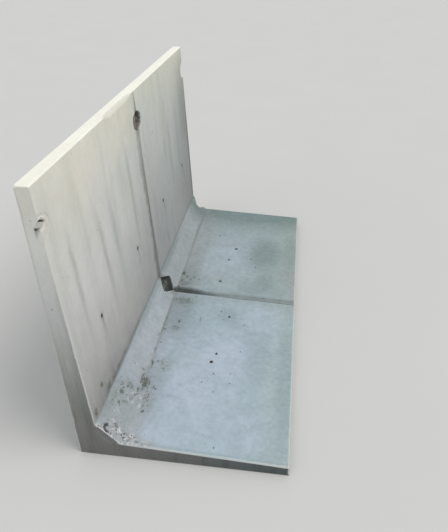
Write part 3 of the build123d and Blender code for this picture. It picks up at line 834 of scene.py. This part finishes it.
# Droppings: crumbs of mortar and dried dirt that fell into the corner while the wall was built, lying loose on the
# haunch, thickest along its foot, and on the heel at the joint.
droppings = [
    (HEEL, 50, -1370, 30, 100, 90), (HAUNCH, 235, -1360, 18, 120, 60), (HAUNCH, 100, -1530, 35, 60, 46),
    (HAUNCH, 140, -1660, 30, 50, 20), (HEEL, 90, -1600, 40, 100, 34), (HEEL, 30, -1020, 16, 220, 44),
    (HAUNCH, 150, -1900, 70, 70, 46), (HEEL, 60, -1930, 70, 50, 34), (HEEL, 80, -170, 90, 70, 36),
    (HEEL, 40, 380, 40, 80, 16), (HEEL, 300, -800, 350, 600, 26), (HEEL, 500, 800, 300, 500, 14),
]
lone_crumbs = [
    (108, -895, 12.5), (158, -335, 11.5), (237, -1925, 6.5), (148, -1365, 5), (278, -1245, 4.5), (268, -1125, 4.5),
    (68, -255, 5), (48, -335, 4.5), (108, -385, 5), (-332, -505, 6), (-22, 275, 10), (18, 735, 11), (348, 635, 6),
    (-172, 1275, 6.5), (338, 475, 4), (-390, -1665, 7), (-350, -1415, 6.5),
]


def crumbs(name, seed, finish):
    """Small lumps as one mesh: a six-ring ball, stretched, turned and dented differently for each crumb, set on the
    face it lies on with a third of it below. Droppings are rows of face, distance down it, place along the wall,
    spread down and spread along in mm, and count. Lone crumbs are rows of place across, place along and size."""
    chance = np.random.default_rng(seed)
    heaps = []
    for face, *place, count in droppings:
        at, along, size_down, size_along = np.array(place) / 1000
        down = np.clip(chance.normal(at, size_down, count), 0.006, face_lengths[face] - 0.006)
        y = np.clip(chance.normal(along, size_along, count), near_low.y + 0.012, far_high.y - 0.02)
        heaps.append([np.full(count, face), down, y])
    heaps = np.concatenate(heaps, axis=1)
    heaps = heaps[:, (heaps[2] <= near_high.y - 0.012) | (heaps[2] >= far_low.y + 0.085)]
    lone_x, lone_y, lone_size = np.array(lone_crumbs).T / 1000
    lone_down = (lone_x - corners[HEEL, 0]) / face_ways[HEEL, 0]
    face, down, y = np.concatenate([heaps, [np.full(len(lone_x), HEEL), lone_down, lone_y]], axis=1)[..., None]
    count, lone = len(y), slice(-len(lone_x), None)
    size = 0.0015 + 0.0055 * chance.random(count) ** 4
    size[lone] = lone_size

    rings, turns = 6, 7
    rise, turn = np.meshgrid(np.linspace(0, math.pi, rings), np.arange(turns) / turns * 2 * math.pi, indexing="ij")
    ball = np.stack([np.sin(rise) * np.cos(turn), np.sin(rise) * np.sin(turn), np.cos(rise)], axis=-1).reshape(-1, 3)
    dents = 1 + 0.55 * (chance.random((count, len(ball))) - 0.5)
    dents[:, :turns], dents[:, -turns:] = dents[:, :1], dents[:, -1:]
    lump = ball * dents[..., None] * size[:, None, None] * (0.75 + 0.5 * chance.random((count, 1, 3)))
    swing = chance.random((count, 1)) * 2 * math.pi
    downhill = lump[..., 0] * np.cos(swing) - lump[..., 1] * np.sin(swing)
    along = lump[..., 0] * np.sin(swing) + lump[..., 1] * np.cos(swing)
    height = 0.7 * lump[..., 2] + (0.3 * size - 0.002)[:, None]
    vertices = above_face(face.astype(int), down + downhill, y + along, height)

    index = np.arange(rings * turns).reshape(rings, turns)
    following = np.roll(index, -1, axis=1)
    quads = np.stack([index[:-1], index[1:], following[1:], following[:-1]], axis=-1).reshape(-1, 4)
    polygons = (quads + (np.arange(count) * index.size)[:, None, None]).reshape(-1, 4)
    shade = chance.random(count)
    shade[lone] = 0
    mesh = smooth_mesh(name, vertices.reshape(-1, 3), polygons.tolist(), {"shade": np.repeat(shade, index.size)})
    fitted(mesh, finish)


# Brown, grey-green or pale from one crumb to the next
finish = Finish("dried_crumbs")
shade, dust = finish.written("shade"), mottled(finish.place, 300, 2)
tone = coated((68, 70, 66), (128, 129, 121), clip(shade * 1.6), (178, 177, 171), clip((shade - 0.68) * 8))
crumbs("mortar_droppings", 401, finish.laid(lit(tone, dust * 0.4 + 0.8), 0.98 - dust * 0.1, dust, 0.6, 0.0008))

# Connections: flat galvanised plates with slots, square washers and hexagon bolts into cast-in sockets of hexagonal
# bar. They have stood in the wet with dirt on them, so the zinc is dull and rust shows at the edges.


def steel_material(name, zinc, rust_amount, dirt_amount):
    """Dull zinc with clouded grey, rust breaking through and dirt on top."""
    finish = Finish(name)
    spangle = mottled(finish.place, 160, 1.8)
    rust, dirt = grime(finish.place, rust_amount, 70), grime(finish.place, dirt_amount, 45)
    rust_tone = coated((66, 54, 44), (98, 76, 58), spangle)
    tone = coated(zinc, (96, 98, 98), spangle * 0.6, rust_tone, rust, (72, 68, 58), dirt * 0.9)
    covered = reckon("MAXIMUM", rust, dirt)
    return finish.laid(tone, covered * 0.35 + 0.5, covered + spangle, 0.5, 0.0006, metallic=0.8 - covered * 0.75)


def dressed(kinds, material):
    """The CAD nodes whose names end in one of these words, in their own finish."""
    for node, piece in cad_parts.items():
        if node.endswith(kinds):
            piece.data.materials.clear()
            piece.data.materials.append(material)


dressed("_plate", steel_material("dull_plate_steel", (132, 134, 132), 0.52, 0.62))
dressed(("_washer", "_bolt"), steel_material("dull_bolt_steel", (150, 151, 148), 0.46, 0.5))
dressed("_socket", steel_material("rusted_socket_steel", (104, 98, 90), 0.62, 0.5))

# Joint board: a strip of black bitumen fibre board held between the two stems, set back from their faces. It was
# stood against the first unit before the second was pulled up to it, and cement dust has greyed it.
finish = Finish("bitumen_board")
fibres = mottled(stretched(finish.place, 300, 300, 60), 1, 1.8)
dust, up_board = grime(finish.place, 0.56, 30), rising(coordinates(finish.place)[2], 0.8, 1.7)
tone = coated((34, 33, 31), (58, 56, 52), fibres, (112, 110, 103), dust * 0.7, (152, 151, 144), up_board * 0.85)
dressed("_board", finish.laid(tone, 0.95 - fibres * 0.15, fibres, 0.6, 0.0008))

# Setting: a plain pale floor, even daylight with a soft lamp high on the heel's side, and a camera above the near
# end that looks along the wall and down into its corner.
reach, under = 60.0, -0.0005
ground = bpy.data.meshes.new("floor")
ground.from_pydata([(x * reach, y * reach, under) for x, y in ((-1, -1), (1, -1), (1, 1), (-1, 1))], [], [range(4)])
finish = Finish("pale_floor")
pale = coated((205, 204, 201), (212, 212, 210), mottled(finish.place, 0.6, 0.6))
ground.materials.append(finish.laid(pale, 0.95, shine=0.1))
added(ground)

# The sky lights at a plain level and shows as a pale background, also in metal and glass
world = bpy.data.worlds.new("pale_sky")
bpy.context.scene.world = world
world.use_nodes = True
tree = world.node_tree
tree.nodes.clear()
rays = tree.nodes.new("ShaderNodeLightPath").outputs
camera_ray, glossy, through = (Value(rays[f"Is {kind} Ray"]) for kind in ("Camera", "Glossy", "Transmission"))
looked_at = reckon("MAXIMUM", camera_ray, reckon("MAXIMUM", glossy, through))
sky, shown = (add_node("Background", {"Color": colour, "Strength": strength}, tree=tree)
              for colour, strength in (((0.94, 0.97, 1.0, 1.0), 0.62), (seen(214, 214, 212), 1.0)))
both = add_node("MixShader", {0: looked_at, 1: sky, 2: shown})
tree.links.new(both.socket, tree.nodes.new("ShaderNodeOutputWorld").inputs[0])


def lamp(name, strength, towards, softness, colour):
    """A far lamp shining along a direction, its shadow softened by its size in degrees."""
    light = bpy.data.lights.new(name, "SUN")
    light.energy, light.angle, light.color = strength, math.radians(softness), colour
    x, y, z = np.array(towards) / np.linalg.norm(towards)
    added(light).rotation_euler = (math.acos(-z), 0, math.atan2(y, x) - math.pi / 2)


lamp("high_lamp", 1.35, (-0.55, 0.1, -0.83), 35, (1, 0.985, 0.95))
lamp("fill_lamp", 0.35, (0.25, 0.8, -0.55), 60, (0.95, 0.98, 1))

camera = bpy.data.cameras.new("camera")
camera.sensor_width, camera.lens = 36.0, 34.49
holder = added(camera)
holder.location, holder.rotation_euler = (0.685, -4.397, 3.452), np.radians((56.66, 0.50, 7.76))
bpy.context.scene.camera = holder
bpy.context.scene.view_settings.view_transform = "Standard"

bpy.context.view_layer.update()
